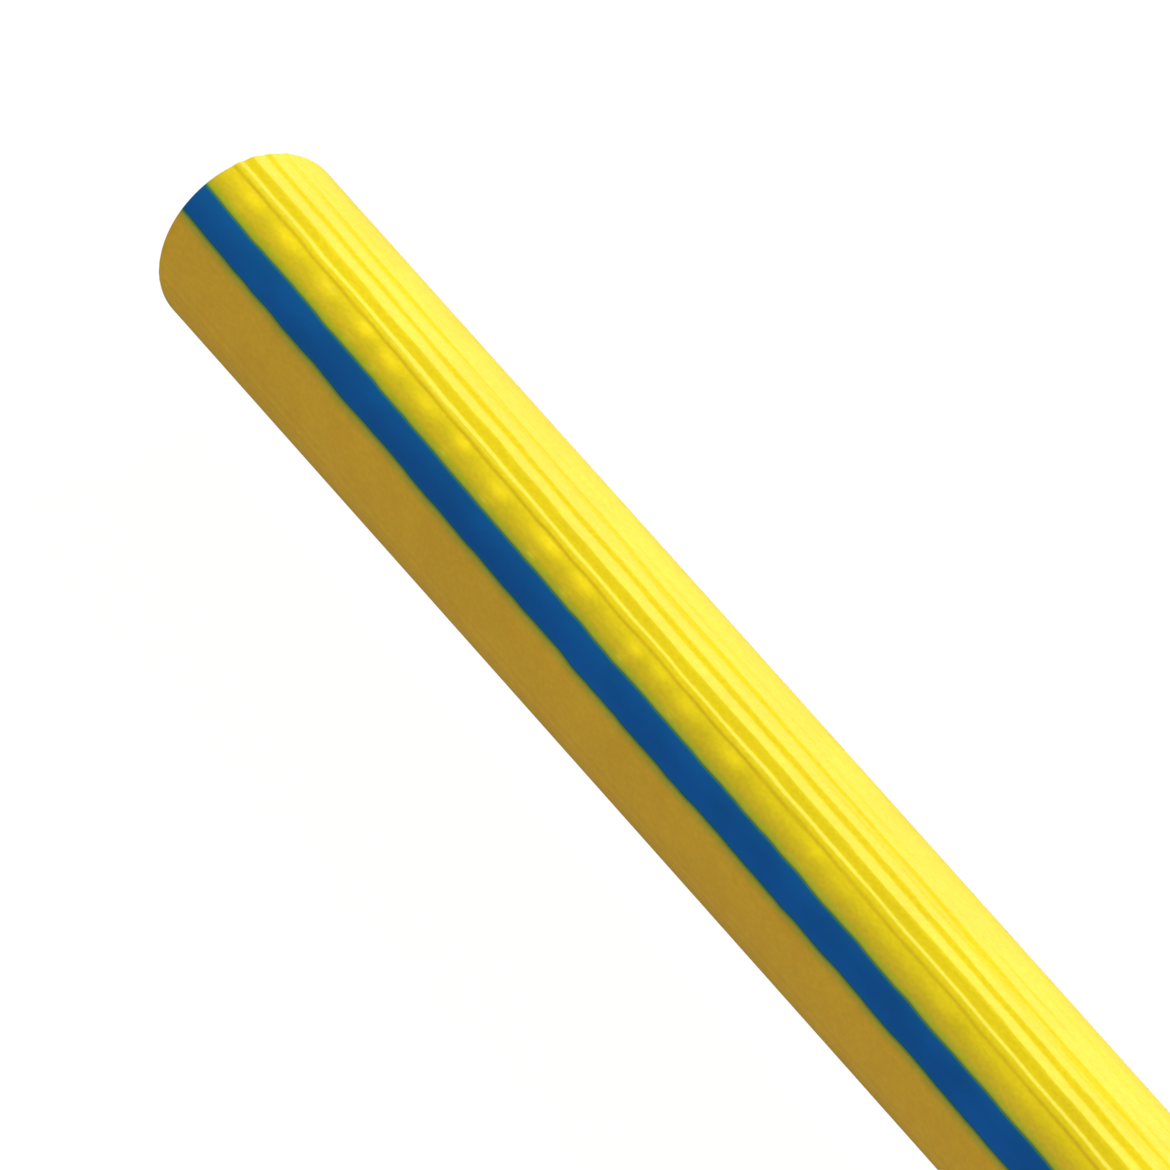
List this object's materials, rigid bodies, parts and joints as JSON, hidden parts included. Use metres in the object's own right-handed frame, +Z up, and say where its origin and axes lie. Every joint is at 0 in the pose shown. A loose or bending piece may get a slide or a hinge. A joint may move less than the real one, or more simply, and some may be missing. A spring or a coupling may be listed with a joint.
{
  "type": "rescue tube",
  "caption": "Long round foam float in a glossy yellow vinyl skin with a blue stripe, with end rings, snap hook, tow line and padded shoulder strap.",
  "frame": {"origin": "on the float's axis, half way along it", "axes": "+X along the float towards its tow line end, +Z up, with the stripe turned towards -Y"},
  "size_m": [1.8942, 0.4347, 0.13],
  "materials": {
    "foam": "closed-cell foam",
    "skin": "glossy coated vinyl",
    "stripe": "glossy coated vinyl",
    "patch": "glossy coated vinyl",
    "webbing": "woven nylon",
    "thread": "bonded thread",
    "ring_steel": "polished stainless",
    "hook_steel": "satin stainless",
    "spring_steel": "spring wire",
    "rope": "three-strand laid rope",
    "ferrule": "crimped",
    "thimble": "moulded nylon",
    "pad": "padded fabric",
    "slider": "moulded acetal"
  },
  "bodies": {
    "float": {"upper_foam_half": "foam", "lower_foam_half": "foam", "vinyl_skin": "skin", "blue_stripe": "stripe", "far_end_disc": "skin", "near_end_disc": "skin", "far_strap_patch": "patch", "near_strap_patch": "patch", "core_webbing": "webbing", "far_bar_tack": "thread", "near_bar_tack": "thread", "tow_line": "rope", "line_ferrules": "ferrule", "line_thimble": "thimble"},
    "far_ring": {"far_d_ring": "ring_steel"},
    "near_ring": {"near_d_ring": "ring_steel"},
    "swivel": {"swivel_eye": "hook_steel", "swivel_washer": "hook_steel"},
    "hook": {"hook_body": "hook_steel", "gate_pin": "hook_steel"},
    "gate": {"hook_gate": "hook_steel", "gate_spring": "spring_steel"},
    "strap": {"strap_d_ring": "ring_steel", "shoulder_webbing": "webbing", "strap_bar_tack": "thread", "shoulder_pad": "pad"},
    "slider": {"strap_slider": "slider"}
  },
  "joints": [
    {"name": "far_ring_swing", "type": "hinge", "parent": "float", "child": "far_ring", "pos_m": [-0.649, 0, 0], "axis": [0, 1, 0], "range_deg": [0, 180]},
    {"name": "near_ring_swing", "type": "hinge", "parent": "float", "child": "near_ring", "pos_m": [0.665, 0, 0], "axis": [0, -1, 0], "range_deg": [-45, 110]},
    {"name": "hook_eye_swing", "type": "hinge", "parent": "near_ring", "child": "swivel", "pos_m": [0.6901, 0, -0.0251], "axis": [0, -1, 0], "range_deg": [-40, 40]},
    {"name": "hook_swivel", "type": "hinge", "parent": "swivel", "child": "hook", "pos_m": [0.71477, 0, -0.03608], "axis": [0.9135, 0, -0.4067], "continuous": true},
    {"name": "gate_open", "type": "hinge", "parent": "hook", "child": "gate", "pos_m": [0.72345, 0.011, -0.03995], "axis": [-0.4067, 0, -0.9135], "range_deg": [0, 30], "stiffness_Nm_per_rad": 0.02, "springref_deg": -11.46},
    {"name": "strap_swing", "type": "hinge", "parent": "float", "child": "strap", "pos_m": [0.815, -0.30015, -0.0335], "axis": [0, 0, 1], "range_deg": [-50, 40]},
    {"name": "slider_slide", "type": "slide", "parent": "strap", "child": "slider", "axis": [0.7951, 0.6065, 0], "range_m": [-0.025, 0.03]}
  ]
}
